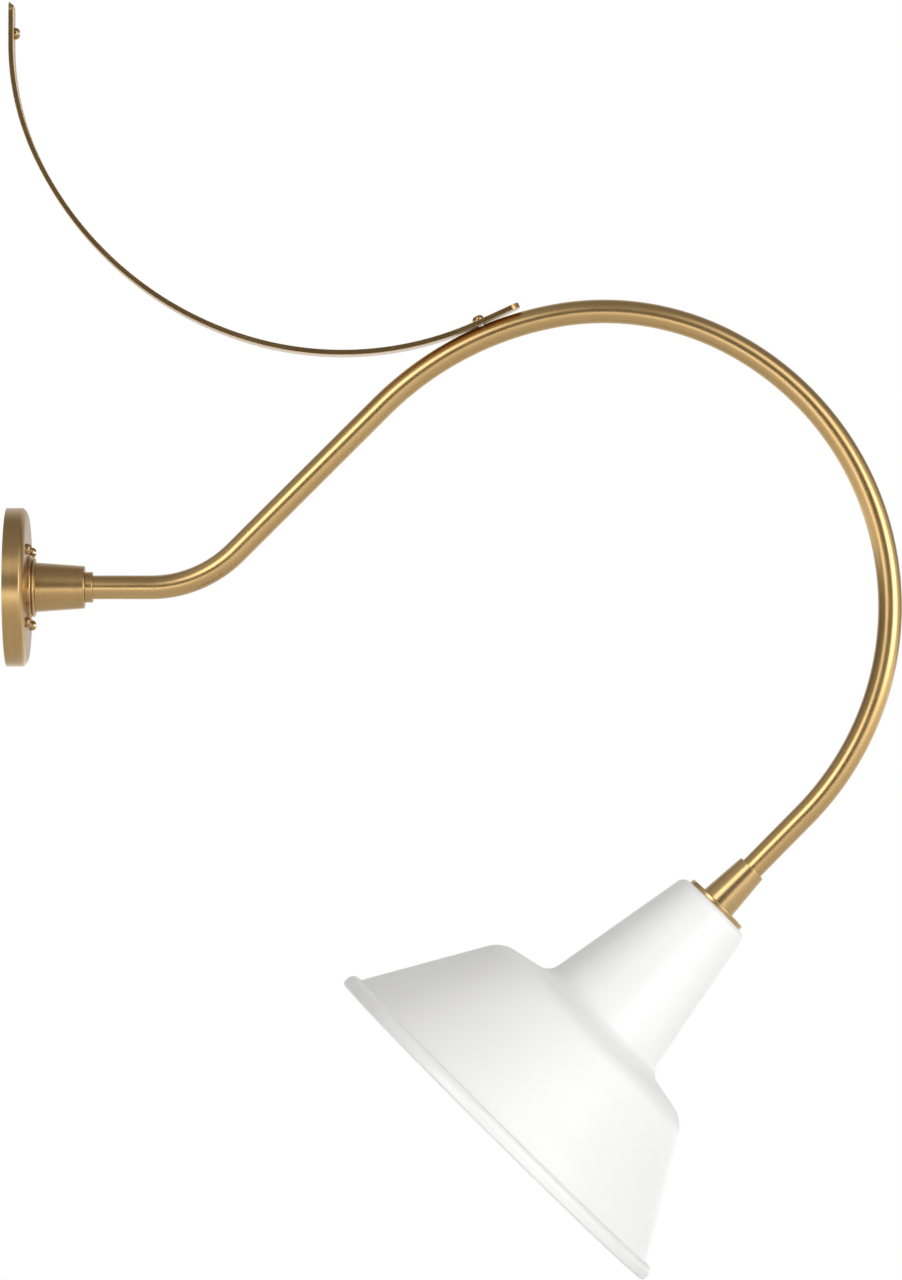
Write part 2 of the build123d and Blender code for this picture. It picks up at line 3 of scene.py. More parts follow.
import bmesh
import bpy
from mathutils import Matrix, Vector


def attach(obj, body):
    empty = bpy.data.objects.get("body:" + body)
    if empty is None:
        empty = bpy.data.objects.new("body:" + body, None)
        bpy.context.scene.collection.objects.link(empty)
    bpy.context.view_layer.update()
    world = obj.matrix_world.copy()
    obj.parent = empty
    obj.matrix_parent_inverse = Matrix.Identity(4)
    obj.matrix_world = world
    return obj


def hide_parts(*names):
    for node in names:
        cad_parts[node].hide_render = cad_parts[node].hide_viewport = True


# Looks for the gooseneck picture light. The light's own sizes are in millimetres, scaled by MM.
# The camera, the floor and the studio are in metres.
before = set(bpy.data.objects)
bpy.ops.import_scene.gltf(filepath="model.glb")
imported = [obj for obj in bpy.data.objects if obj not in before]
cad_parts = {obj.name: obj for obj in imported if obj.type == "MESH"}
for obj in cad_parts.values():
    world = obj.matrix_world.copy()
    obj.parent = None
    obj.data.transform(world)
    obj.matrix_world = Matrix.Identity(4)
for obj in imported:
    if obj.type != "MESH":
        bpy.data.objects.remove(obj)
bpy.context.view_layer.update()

scene = bpy.context.scene
MM = 0.001
SIDE = Vector((0, 1, 0))
OUT = Vector((1, 0, 0))

# ------------------------------------------------------------------ camera
# a long lens square to the arm's plane, a little below the light's middle
CAMERA_AT = Vector((0.3559, -5.214, -0.250))
CAMERA_AIM = Vector((0.3559, 0.0, -0.0422))

camera = bpy.data.objects.new("camera", bpy.data.cameras.new("camera"))
camera.data.lens = 183.3
camera.data.sensor_width = 36.0
camera.data.clip_end = 60.0
camera.location = CAMERA_AT
camera.rotation_euler = (CAMERA_AIM - CAMERA_AT).to_track_quat("-Z", "Y").to_euler()
scene.collection.objects.link(camera)
scene.camera = camera


# ------------------------------------------------------------------ outlines
SHARP_EDGE = 1.3  # arcs under this radius are edges that wear


def rounded(corners, closed=False, step=12.0):
    """Straight runs joined by arcs, from corners (a, b, radius) and with step degrees between points.

    A point is (a, b, ta, tb, wear): its place, its direction, and how far its edge is worn.
    """
    count = len(corners)
    points = []
    for i, (a, b, radius) in enumerate(corners):
        here = Vector((a, b))
        before = Vector(corners[i - 1][:2])
        after = Vector(corners[(i + 1) % count][:2])
        if not closed and i in (0, count - 1):
            along = (after - here) if i == 0 else (here - before)
            along.normalize()
            points.append((a, b, along.x, along.y, 0.0))
            continue
        along_in = (here - before).normalized()
        along_out = (after - here).normalized()
        turn = atan2(along_in.cross(along_out), along_in.dot(along_out))
        reach = radius * tan(abs(turn) / 2)
        side = 1.0 if turn > 0 else -1.0
        start = here - along_in * reach
        centre = start + Vector((-along_in.y, along_in.x)) * side * radius
        pieces = max(3, ceil(abs(degrees(turn)) / step))
        for k in range(pieces + 1):
            angle = turn * k / pieces
            c, s = cos(angle), sin(angle)
            arm = start - centre
            at = centre + Vector((arm.x * c - arm.y * s, arm.x * s + arm.y * c))
            along = Vector((along_in.x * c - along_in.y * s, along_in.x * s + along_in.y * c))
            wear = sin(pi * k / pieces) if radius < SHARP_EDGE else 0.0
            points.append((at.x, at.y, along.x, along.y, wear))
    return points


def shifted(points, amount):
    """The same outline moved to the right of its direction, and reversed."""
    return [(a + tb * amount, b - ta * amount, -ta, -tb, w) for a, b, ta, tb, w in reversed(points)]


def walk(start, heading, moves, step=3.0):
    """Stations (x, z, angle, distance) along lines and arcs; moves are (length,) or (radius, turn)."""
    x, z = start
    angle = radians(heading)
    gone = 0.0
    stations = [(x, z, angle, gone)]
    for move in moves:
        if len(move) == 1:
            pieces = max(1, ceil(move[0] / (4 * step)))
            for _ in range(pieces):
                x += move[0] / pieces * cos(angle)
                z += move[0] / pieces * sin(angle)
                gone += move[0] / pieces
                stations.append((x, z, angle, gone))
            continue
        radius, turn = move[0], radians(move[1])
        pieces = ceil(radius * abs(turn) / step)
        side = 1.0 if turn > 0 else -1.0
        cx, cz = x - sin(angle) * radius * side, z + cos(angle) * radius * side
        first = angle
        for k in range(1, pieces + 1):
            angle = first + turn * k / pieces
            x, z = cx + sin(angle) * radius * side, cz - cos(angle) * radius * side
            stations.append((x, z, angle, gone + radius * abs(turn) * k / pieces))
        gone += radius * abs(turn)
    return stations


# ------------------------------------------------------------------ meshes
ON_AXIS = 1e-6  # a radius this small is a point on the axis


class Skin:
    """Collects vertices with exact normals and two sets of grain coordinates, then makes a piece."""

    def __init__(self):
        self.points, self.normals, self.ring, self.along, self.faces = [], [], [], [], []

    def vertex(self, point, normal, ring, along):
        self.points.append(point)
        self.normals.append(normal)
        self.ring.append(ring)
        self.along.append(along)
        return len(self.points) - 1

    def face(self, *corners):
        corners = [c for i, c in enumerate(corners) if c != corners[i - 1]]
        if len(corners) > 2:
            self.faces.append(corners)

    def mesh(self, name):
        made = bpy.data.meshes.new(name)
        made.from_pydata([p * MM for p in self.points], [], self.faces)
        made.polygons.foreach_set("use_smooth", [True] * len(made.polygons))
        corner_vertices = [0] * len(made.loops)
        made.loops.foreach_get("vertex_index", corner_vertices)
        for layer_name, values in (("ring", self.ring), ("along", self.along)):
            layer = made.uv_layers.new(name=layer_name)
            flat = [c for v in corner_vertices for c in values[v]]
            layer.data.foreach_set("uv", flat)
        made.normals_split_custom_set_from_vertices(self.normals)
        return made


def place(name, mesh, material, body, node):
    """Shows a mesh as a piece that rides on a body and stands for a CAD node."""
    piece = bpy.data.objects.new(name, mesh)
    mesh.materials.append(material)
    scene.collection.objects.link(piece)
    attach(piece, body)
    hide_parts(node)


def ring_quad(low, high, k, segments):
    """The four corners between two rings at step k; a ring may be a single point on the axis."""
    n = (k + 1) % segments
    return low[k % len(low)], low[n % len(low)], high[n % len(high)], high[k % len(high)]


def lathe(skin, outline, closed, origin, axis, segments=128, wave=None):
    """Turns an outline of (distance along the axis, radius) points around the axis.

    wave(distance, angle) adds to the radius, as a thread does.
    """
    axis = axis.normalized()
    across = SIDE.copy()
    third = axis.cross(across)
    area = sum(p[0] * q[1] - q[0] * p[1] for p, q in zip(outline, outline[1:] + outline[:1]))
    if area > 0:
        outline = shifted(outline, 0.0)  # the other way round, so that the faces look out
    run = 0.0
    rows = []
    for i, (s, r, ts, tr, wear) in enumerate(outline):
        if i:
            run += hypot(s - outline[i - 1][0], r - outline[i - 1][1])
        row = []
        count = 1 if r < ON_AXIS else segments
        for k in range(count):
            theta = 2 * pi * k / segments
            radial = across * cos(theta) + third * sin(theta)
            radius = r + (wave(s, theta) if wave else 0.0)
            normal = (radial * ts - axis * tr).normalized() if count > 1 else axis * -tr
            ring = (radius * cos(theta) * MM, radius * sin(theta) * MM)
            row.append(skin.vertex(origin + axis * s + radial * radius, normal, ring, (run * MM, wear)))
        rows.append(row)
    pairs = list(zip(rows, rows[1:]))
    if closed:
        pairs.append((rows[-1], rows[0]))
    for low, high in pairs:
        for k in range(segments):
            skin.face(*ring_quad(low, high, k, segments))


def sweep(skin, stations, radius, inner, segments=48):
    """A tube with a bore along stations in the plane y = 0."""
    walls = ((radius, 1.0), (inner, -1.0))
    ends = []
    for wall, facing in walls:
        rows = []
        for x, z, angle, gone in stations:
            up = Vector((-sin(angle), 0, cos(angle)))
            row = []
            for k in range(segments):
                theta = 2 * pi * k / segments
                radial = up * cos(theta) + SIDE * sin(theta)
                at = Vector((x, 0, z)) + radial * wall
                ring = (wall * cos(theta) * MM, wall * sin(theta) * MM)
                row.append(skin.vertex(at, radial * facing, ring, (gone * MM, 0.0)))
            rows.append(row)
        for low, high in zip(rows, rows[1:]):
            for k in range(segments):
                n = (k + 1) % segments
                quad = (low[k], low[n], high[n], high[k])
                skin.face(*(reversed(quad) if facing > 0 else quad))
        ends.append((rows[0], rows[-1]))
    for which in (0, 1):
        for k in range(segments):
            n = (k + 1) % segments
            quad = (ends[0][which][k], ends[1][which][k], ends[1][which][n], ends[0][which][n])
            skin.face(*(reversed(quad) if which == 0 else quad))


def quarter(pieces):
    """Angles that divide a quarter turn."""
    return [pi / 2 * k / pieces for k in range(pieces + 1)]


def strap(skin, stations, width, thickness, corner, edge, bevel):
    """A flat bar bent along stations, with rounded ends, softened edges and a bevel at its start."""
    length = stations[-1][3]
    last = length - corner
    cuts = [round(s[3], 4) for s in stations if corner < s[3] < last]
    arc = quarter(10)
    flat = width / 2 - corner
    # one long side of the outline: (distance along, distance across) and the direction out of it
    side = [(corner - corner * cos(a), flat + corner * sin(a), -cos(a), sin(a)) for a in arc]
    side += [(t, width / 2, 0.0, 1.0) for t in cuts]
    side += [(last + corner * sin(a), flat + corner * cos(a), sin(a), cos(a)) for a in arc]
    loop = side + [(t, -w, nt, -nw) for t, w, nt, nw in reversed(side)]
    # rings from the lower face round both edges: (inset, height), the way out, and the wear
    turns = quarter(4)
    levels = [(edge - edge * sin(a), edge - edge * cos(a), sin(a), -cos(a), sin(2 * a)) for a in turns]
    levels += [
        (edge - edge * cos(a), thickness - edge + edge * sin(a), cos(a), sin(a), sin(2 * a))
        for a in turns
    ]

    def bend(t):
        """The point on the strap's lower face at a distance, with the directions along and up."""
        for low, high in zip(stations, stations[1:]):
            if t <= high[3] + 1e-6:
                break
        share = (t - low[3]) / (high[3] - low[3])
        angle = low[2] + (high[2] - low[2]) * share
        chord = hypot(high[0] - low[0], high[1] - low[1])
        sag = chord * (high[2] - low[2]) / 2 * share * (1 - share)
        middle = (low[2] + high[2]) / 2
        x = low[0] + (high[0] - low[0]) * share + sin(middle) * sag
        z = low[1] + (high[1] - low[1]) * share - cos(middle) * sag
        along, up = Vector((cos(angle), 0, sin(angle))), Vector((-sin(angle), 0, cos(angle)))
        return Vector((x, 0, z)), along, up

    rings = []
    for inset, height, share_out, share_up, wear in levels:
        row = []
        for t, w, nt, nw in loop:
            at_w = w - nw * inset
            start_t = max(0.0, height - (thickness - bevel))
            on_bevel = t - nt * inset < start_t
            at_t = min(max(t - nt * inset, start_t), length)
            at, along, up = bend(at_t)
            normal = (along * nt + SIDE * nw) * share_out + up * share_up
            normal = (up - along if on_bevel else normal).normalized()
            point = at + SIDE * at_w + up * height
            row.append(skin.vertex(point, normal, (at_w * MM, height * MM), (at_t * MM, wear)))
        rings.append(row)
    count = len(loop)
    for low, high in zip(rings, rings[1:]):
        for k in range(count):
            n = (k + 1) % count
            skin.face(low[n], low[k], high[k], high[n])
    for ring, flip in ((rings[0], False), (rings[-1], True)):
        for k in range(len(side) - 1):
            quad = (ring[k], ring[k + 1], ring[count - 2 - k], ring[count - 1 - k])
            skin.face(*(reversed(quad) if flip else quad))


SCREW_SHANK = 2.5
SLOT_WIDTH = 1.4
SLOT_DEPTH = 2.1
HEAD_SEGMENTS = 48


def slotted_heads(name, places, head_radius, head_height, shank_length):
    """Round-head screws with a cut slot; places are matrices with z along the screw, in millimetres."""
    dome = rounded(
        [
            (0, -shank_length, 0),
            (SCREW_SHANK, -shank_length, 0.4),
            (SCREW_SHANK, 0, 0.2),
            (head_radius, 0, 0.25),
            (head_radius, head_height, 0.75 * head_height),
            (0, head_height, 0),
        ]
    )
    work = bmesh.new()
    rows = []
    for r, z, *_ in dome:
        count = 1 if r < ON_AXIS else HEAD_SEGMENTS
        turns = [2 * pi * k / HEAD_SEGMENTS for k in range(count)]
        rows.append([work.verts.new((r * cos(turn), r * sin(turn), z)) for turn in turns])
    for low, high in zip(rows, rows[1:]):
        for k in range(HEAD_SEGMENTS):
            corners = ring_quad(low, high, k, HEAD_SEGMENTS)
            unique = [c for i, c in enumerate(corners) if c is not corners[i - 1]]
            if len(unique) > 2:
                work.faces.new(unique)
    bmesh.ops.recalc_face_normals(work, faces=work.faces)
    head = bpy.data.objects.new(name + "_blank", bpy.data.meshes.new(name + "_blank"))
    work.to_mesh(head.data)
    work.free()
    cut = bmesh.new()
    bmesh.ops.create_cube(cut, size=1.0)
    for v in cut.verts:
        depth = head_height - SLOT_DEPTH + (v.co.z + 0.5) * 2 * SLOT_DEPTH
        v.co = Vector((v.co.x * 3 * head_radius, v.co.y * SLOT_WIDTH, depth))
    cutter = bpy.data.objects.new(name + "_cutter", bpy.data.meshes.new(name + "_cutter"))
    cut.to_mesh(cutter.data)
    cut.free()
    for item in (head, cutter):
        scene.collection.objects.link(item)
    slot_cut = head.modifiers.new("slot", "BOOLEAN")
    slot_cut.object = cutter
    slot_cut.operation = "DIFFERENCE"
    slot_cut.solver = "EXACT"
    soften = head.modifiers.new("soften", "BEVEL")
    soften.width = 0.14
    soften.segments = 2
    soften.limit_method = "ANGLE"
    soften.angle_limit = radians(40)
    cut_head = head.evaluated_get(bpy.context.evaluated_depsgraph_get())
    result = bpy.data.meshes.new_from_object(cut_head)
    joined = bmesh.new()
    for at in places:
        start = len(joined.verts)
        joined.from_mesh(result)
        joined.verts.ensure_lookup_table()
        bmesh.ops.transform(joined, matrix=Matrix.Scale(MM, 4) @ at, verts=joined.verts[start:])
    for edge in joined.edges:
        edge.smooth = edge.calc_face_angle(0.0) < radians(32)
    for face in joined.faces:
        face.smooth = True
    made = bpy.data.meshes.new(name)
    joined.to_mesh(made)
    joined.free()
    for item in (head, cutter):
        bpy.data.objects.remove(item)
    return made


# ------------------------------------------------------------------ materials
class Paint:
    """A node material built up around one Principled shader."""

    def __init__(self, name, **values):
        self.material = bpy.data.materials.new(name)
        self.material.use_nodes = True
        self.tree = self.material.node_tree
        self.tree.nodes.clear()
        self.shader = self.tree.nodes.new("ShaderNodeBsdfPrincipled")
        output = self.tree.nodes.new("ShaderNodeOutputMaterial")
        self.tree.links.new(self.shader.outputs[0], output.inputs[0])
        for socket, value in values.items():
            self.shader.inputs[socket.replace("_", " ")].default_value = value

    def node(self, kind, sockets=(), **settings):
        """Adds a node; sockets takes values and links alike."""
        made = self.tree.nodes.new("ShaderNode" + kind)
        for key, value in settings.items():
            setattr(made, key, value)
        for key, value in dict(sockets).items():
            if isinstance(value, bpy.types.NodeSocket):
                self.tree.links.new(value, made.inputs[key])
            else:
                made.inputs[key].default_value = value
        return made

    def to(self, socket, value):
        """Links a value to one of the shader's sockets."""
        self.tree.links.new(value, self.shader.inputs[socket])

    def math(self, operation, a, b=0.0, c=0.0):
        return self.node("Math", {0: a, 1: b, 2: c}, operation=operation).outputs[0]

    def fit(self, value, low, high, to_low, to_high):
        sockets = {"Value": value, "From Min": low, "From Max": high, "To Min": to_low, "To Max": to_high}
        return self.node("MapRange", sockets).outputs["Result"]

    def noise(self, vector, scale, detail=3.0, rough=0.55):
        sockets = {"Vector": vector, "Scale": scale, "Detail": detail, "Roughness": rough}
        return self.node("TexNoise", sockets).outputs["Fac"]

    def mix(self, share, first, second):
        made = self.node("Mix", data_type="RGBA")
        for index, value in ((0, share), (6, first), (7, second)):
            if isinstance(value, bpy.types.NodeSocket):
                self.tree.links.new(value, made.inputs[index])
            else:
                made.inputs[index].default_value = value if index == 0 else (*value, 1.0)
        return made.outputs[2]

    def bump(self, height, strength, distance):
        sockets = {"Height": height, "Strength": strength, "Distance": distance}
        self.to("Normal", self.node("Bump", sockets).outputs[0])

    def position(self):
        """Object coordinates, which are metres in the light's own frame."""
        return self.node("TexCoord").outputs["Object"]

    def grain(self, ring_scale, along_scale):
        """Coordinates that follow the piece's own grain, and its edge wear."""
        ring = self.node("SeparateXYZ", {0: self.node("UVMap", uv_map="ring").outputs[0]})
        along = self.node("SeparateXYZ", {0: self.node("UVMap", uv_map="along").outputs[0]})
        x = self.math("MULTIPLY", ring.outputs[0], ring_scale)
        y = self.math("MULTIPLY", ring.outputs[1], ring_scale)
        z = self.math("MULTIPLY", along.outputs[0], along_scale)
        return self.node("CombineXYZ", {0: x, 1: y, 2: z}).outputs[0], along.outputs[1]


BRASS_WORN = (0.74, 0.55, 0.29)
LATHE_GRAIN = (34.0, 1300.0)  # scales round the piece and along it: rings left by a lathe
DRAWN_GRAIN = (420.0, 3.0)  # lines that run along a drawn tube or a bar


def brushed_brass(name, light, dark, rough, relief=1.0, grain=None):
    """Lacquered satin brass. Streaks follow the grain where one is given, else they are fine and even."""
    paint = Paint(name, Metallic=1.0, Coat_Weight=0.25, Coat_Roughness=0.2)
    where = paint.position()
    wear = None
    if grain:
        lines, wear = paint.grain(*grain)
    else:
        lines = paint.node("Mapping", {"Vector": where, "Scale": (900.0, 260.0, 900.0)}).outputs[0]
    fine = paint.noise(lines, 1.0, 4.0, 0.62)
    broad = paint.noise(lines, 0.21, 3.0, 0.5)
    cloud = paint.noise(where, 26.0, 4.0, 0.55)
    streak = paint.math("MULTIPLY_ADD", broad, 0.55, paint.math("MULTIPLY", fine, 0.45))
    blend = paint.math("MULTIPLY_ADD", cloud, 0.45, paint.math("MULTIPLY", streak, 0.8))
    tone = paint.fit(blend, 0.42, 0.84, 0.0, 1.0)
    colour = paint.mix(tone, dark, light)
    spread = paint.fit(streak, 0.3, 0.7, rough - 0.02 * relief, rough + 0.02 * relief)
    smudge = paint.fit(paint.noise(where, 45.0, 4.0, 0.6), 0.35, 0.75, -0.01, 0.02)
    rough_now = paint.math("ADD", spread, smudge)
    if wear is not None:
        colour = paint.mix(paint.math("MULTIPLY", wear, 0.6), colour, BRASS_WORN)
        rough_now = paint.math("SUBTRACT", rough_now, paint.math("MULTIPLY", wear, 0.08))
    paint.to("Base Color", colour)
    paint.to("Roughness", rough_now)
    paint.bump(streak, 0.02 * relief, 0.00003)
    return paint.material


def enamel(name, light, shadow):
    """Sprayed white enamel: even colour, a very fine orange peel and a soft gloss."""
    paint = Paint(name, Coat_Weight=0.22, Coat_Roughness=0.12, IOR=1.5)
    where = paint.position()
    cloud = paint.noise(where, 9.0, 3.0, 0.5)
    paint.to("Base Color", paint.mix(paint.fit(cloud, 0.35, 0.7, 0.0, 1.0), light, shadow))
    peel = paint.noise(where, 420.0, 2.0, 0.5)
    paint.to("Roughness", paint.fit(paint.noise(where, 34.0, 4.0, 0.6), 0.3, 0.7, 0.30, 0.38))
    paint.bump(paint.math("MULTIPLY_ADD", cloud, 0.3, peel), 0.05, 0.00015)
    return paint.material


def zinc(name, light, dark):
    """Bright zinc-plated steel with a faint crystal pattern."""
    paint = Paint(name, Metallic=1.0)
    where = paint.position()
    cells = paint.node("TexVoronoi", {"Vector": where, "Scale": 170.0}).outputs["Color"]
    shade = paint.node("SeparateColor", {0: cells}).outputs[0]
    tone = paint.math("MULTIPLY_ADD", shade, 0.35, paint.math("MULTIPLY", paint.noise(where, 40.0), 0.7))
    paint.to("Base Color", paint.mix(paint.fit(tone, 0.2, 0.85, 0.0, 1.0), dark, light))
    paint.to("Roughness", paint.fit(paint.noise(where, 220.0, 4.0), 0.3, 0.7, 0.26, 0.46))
    paint.bump(paint.noise(where, 900.0, 3.0), 0.1, 0.0001)
    return paint.material


def moulded(name, light, dark, rough, **values):
    """Plastic, glass or ceramic with slight mottling and a fine surface."""
    paint = Paint(name, **values)
    where = paint.position()
    cloud = paint.noise(where, 55.0, 4.0, 0.6)
    paint.to("Base Color", paint.mix(paint.fit(cloud, 0.3, 0.7, 0.0, 1.0), light, dark))
    paint.to("Roughness", paint.fit(paint.noise(where, 180.0, 3.0), 0.3, 0.7, rough - 0.04, rough + 0.06))
    paint.bump(paint.noise(where, 700.0, 2.0), 0.06, 0.0001)
    return paint.material


turned_brass = brushed_brass(
    "turned_brass", (0.560, 0.368, 0.156), (0.480, 0.305, 0.120), 0.30, 0.8, LATHE_GRAIN
)
drawn_brass = brushed_brass(
    "drawn_brass", (0.60, 0.400, 0.172), (0.565, 0.372, 0.154), 0.28, 0.0, DRAWN_GRAIN
)
strap_brass = brushed_brass(
    "strap_brass", (0.54, 0.350, 0.145), (0.48, 0.305, 0.120), 0.25, 0.0, DRAWN_GRAIN
)
# a lighter copy of the turned brass for the coupling and disc: a painted highlight, paler to stand in for
# the bright reflections they catch
painted_highlight_brass = brushed_brass(
    "painted_highlight_brass", (0.640, 0.440, 0.205), (0.560, 0.375, 0.165), 0.28, 0.8, LATHE_GRAIN
)
screw_brass = brushed_brass("screw_brass", (0.52, 0.34, 0.14), (0.38, 0.23, 0.085), 0.26)
shell_brass = brushed_brass("shell_brass", (0.66, 0.48, 0.22), (0.54, 0.37, 0.15), 0.24)
white_enamel = enamel("white_enamel", (0.90, 0.90, 0.895), (0.865, 0.865, 0.86))
zinc_steel = zinc("zinc_steel", (0.72, 0.73, 0.74), (0.50, 0.51, 0.53))
cap_aluminium = zinc("cap_aluminium", (0.80, 0.80, 0.81), (0.66, 0.66, 0.68))
solder_tip = zinc("solder_tip", (0.62, 0.62, 0.64), (0.42, 0.42, 0.44))
green_screw = moulded("green_screw", (0.03, 0.26, 0.10), (0.02, 0.17, 0.07), 0.34, Metallic=0.6)
porcelain = moulded(
    "porcelain", (0.84, 0.82, 0.77), (0.79, 0.765, 0.71), 0.14, Coat_Weight=0.6, Coat_Roughness=0.06
)
black_insulation = moulded("black_insulation", (0.022, 0.022, 0.024), (0.014, 0.014, 0.015), 0.42)
white_insulation = moulded("white_insulation", (0.78, 0.77, 0.74), (0.70, 0.69, 0.66), 0.42)
connector_nylon = moulded("connector_nylon", (0.74, 0.48, 0.06), (0.64, 0.39, 0.04), 0.38)
black_glass = moulded("black_glass", (0.016, 0.014, 0.020), (0.010, 0.009, 0.013), 0.10, Coat_Weight=0.5)
frosted_glass = moulded(
    "frosted_glass", (0.93, 0.92, 0.90), (0.90, 0.885, 0.86), 0.22,
    Coat_Weight=0.35, Coat_Roughness=0.12, Subsurface_Weight=0.35, Subsurface_Scale=0.004,
)

# ------------------------------------------------------------------ sizes shared by the pieces
PLATE_DEPTH = 17.4
TUBE_RADIUS = 9.525
TUBE_BORE = 8.325
TUBE_SEAT = 9.56  # holes that the tube passes through
STEM_SEAT = 4.93  # holes that the shade's stem passes through
WALL_CENTRE = Vector((0, 0, 0))
ARM_START = (PLATE_DEPTH, 0.0)
ARM_MOVES = [
    (98.2,), (95.7, 45.0), (165.1,), (265.0, -34.8), (215.9, -35.6), (238.5, -109.25),
]
SHADE_DROP = 102.5
shade_end = walk(ARM_START, 0.0, [*ARM_MOVES, (SHADE_DROP,)])[-1]
SHADE_TOP = Vector((shade_end[0], 0, shade_end[1]))
SHADE_AXIS = Vector((cos(shade_end[2]), 0, sin(shade_end[2])))


def turned(name, outline, material, node, body="fixture", closed=True, segments=128, wave=None):
    """One lathe-turned piece on the shade's axis, from an outline or from its corners."""
    skin = Skin()
    if len(outline[0]) == 3:
        outline = rounded(outline, closed)
    lathe(skin, outline, closed, SHADE_TOP, SHADE_AXIS, segments, wave)
    place(name, skin.mesh(name), material, body, node)


def turned_at_wall(name, corners, node, segments=128):
    """One lathe-turned brass piece on the wall plate's axis."""
    skin = Skin()
    lathe(skin, rounded(corners, True), True, WALL_CENTRE, OUT, segments)
    place(name, skin.mesh(name), turned_brass, "fixture", node)


# ------------------------------------------------------------------ wall plate and hub
PLATE_RADIUS, PLATE_INNER_RADIUS = 63.5, 62.0
PLATE_BORE = 8.6
PLATE_BACK = 15.9  # the inside of its face
EDGE_START, EDGE_CORNER = 13.3, 60.55  # its rounded front edge, outside
INNER_EDGE_START, INNER_EDGE_CORNER = 12.79, 59.49
RING_RADIUS = 25.6
RING_STEP = 20.2
BEAD_RADIUS = 23.8
BEAD_START = 21.0
RING_END = 23.4
CONE_END = 62.7
CONE_FLOOR = 58.3
COLLAR_RADIUS = 12.3
COLLAR_END = 69.2

turned_at_wall(
    "plate_spun",
    [(0, PLATE_INNER_RADIUS, 0.4), (0, PLATE_RADIUS, 0.5), (EDGE_START, PLATE_RADIUS, 0.4),
     (PLATE_DEPTH, EDGE_CORNER, 9.0), (PLATE_DEPTH, PLATE_BORE, 0.2), (PLATE_BACK, PLATE_BORE, 0.2),
     (PLATE_BACK, INNER_EDGE_CORNER, 7.4), (INNER_EDGE_START, PLATE_INNER_RADIUS, 0.4)],
    "wall_plate", segments=192,
)
turned_at_wall(
    "hub_ring_turned",
    [(PLATE_DEPTH, TUBE_SEAT, 0.1), (PLATE_DEPTH, RING_RADIUS, 0.3), (RING_STEP, RING_RADIUS, 0.8),
     (RING_STEP, 22.0, 0.15), (BEAD_START, 22.9, 0.2), (BEAD_START, BEAD_RADIUS, 0.75),
     (22.6, BEAD_RADIUS, 0.75), (RING_END, 22.6, 0.3), (RING_END, TUBE_SEAT, 0.1)],
    "hub_base_ring",
)
turned_at_wall(
    "hub_cone_turned",
    [(RING_END, 17.7, 0.3), (RING_END, 19.9, 0.4), (CONE_END, 17.0, 0.8), (CONE_END, TUBE_SEAT, 0.2),
     (CONE_FLOOR, TUBE_SEAT, 0.2), (CONE_FLOOR, 14.8, 0.5)],
    "hub_cone",
)
turned_at_wall(
    "hub_collar_turned",
    [(CONE_END, TUBE_SEAT, 0.1), (CONE_END, COLLAR_RADIUS, 0.5), (COLLAR_END, COLLAR_RADIUS, 0.5),
     (COLLAR_END, TUBE_SEAT, 0.2)],
    "hub_collar",
)

PLATE_SCREW_CIRCLE = 41.4
OUT_OF_WALL = Matrix.Rotation(radians(90), 4, "Y") @ Matrix.Rotation(radians(90), 4, "Z")
plate_places = []
for turn in (45, 135, 225, 315):
    y, z = PLATE_SCREW_CIRCLE * cos(radians(turn)), PLATE_SCREW_CIRCLE * sin(radians(turn))
    plate_places.append(Matrix.Translation((PLATE_DEPTH, y, z)) @ OUT_OF_WALL)
plate_heads = slotted_heads("plate_screws_cut", plate_places, 4.25, 4.6, 13.4)
place("plate_screws_cut", plate_heads, screw_brass, "fixture", "plate_screws")

# ------------------------------------------------------------------ gooseneck tube
TUBE_END_RUN = 76.2  # to the shoulder inside the coupling
tube_stations = walk(ARM_START, 0.0, [*ARM_MOVES, (TUBE_END_RUN,)])
tube_skin = Skin()
sweep(tube_skin, tube_stations, TUBE_RADIUS, TUBE_BORE, 96)
place("tube_bent", tube_skin.mesh("tube_bent"), drawn_brass, "fixture", "gooseneck_tube")

# ------------------------------------------------------------------ brace strap and its screws
STRAP_SLOPE = radians(24.7)
STRAP_WIDTH = 25.4
STRAP_THICKNESS = 4.2
STRAP_CORNER = 8.0
STRAP_EDGE = 0.45
STRAP_GAP = 0.9  # off the wall
STRAP_TUBE_GAP = 0.05
STRAP_TOP_RUN = 33.9
STRAP_END_RUN = 42.6
STRAP_BEVEL = 3.6
STRAP_SCREW_INSET = 25.2
TUBE_SCREW_SHIFT = 8.0
slope_dir = Vector((cos(STRAP_SLOPE), 0, sin(STRAP_SLOPE)))
slope_up = Vector((-sin(STRAP_SLOPE), 0, cos(STRAP_SLOPE)))
BRACE_BENDS = [(216.6, 25.7), (278.8, 46.2), (263.5, 42.8)]
# the strap lies on the tube where the crown's first arc has turned to the strap's slope
to_contact = [*ARM_MOVES[:3], (ARM_MOVES[3][0], degrees(STRAP_SLOPE) - ARM_MOVES[1][1])]
contact_end = walk(ARM_START, 0.0, to_contact)[-1]
contact = Vector((contact_end[0], 0, contact_end[1]))
on_tube = contact + slope_up * (TUBE_RADIUS + STRAP_TUBE_GAP)
bends_end = walk((STRAP_GAP, 0.0), -90.0, BRACE_BENDS)[-1]
to_tube = on_tube - Vector((bends_end[0], 0, bends_end[1]))
strap_start_z = to_tube.dot(slope_up) / slope_up.z
slope_start = Vector((bends_end[0], 0, bends_end[1] + strap_start_z))
end_run = (on_tube - slope_start).dot(slope_dir) + STRAP_END_RUN
strap_top_z = strap_start_z + STRAP_TOP_RUN
strap_moves = [(STRAP_TOP_RUN,), *BRACE_BENDS, (end_run,)]
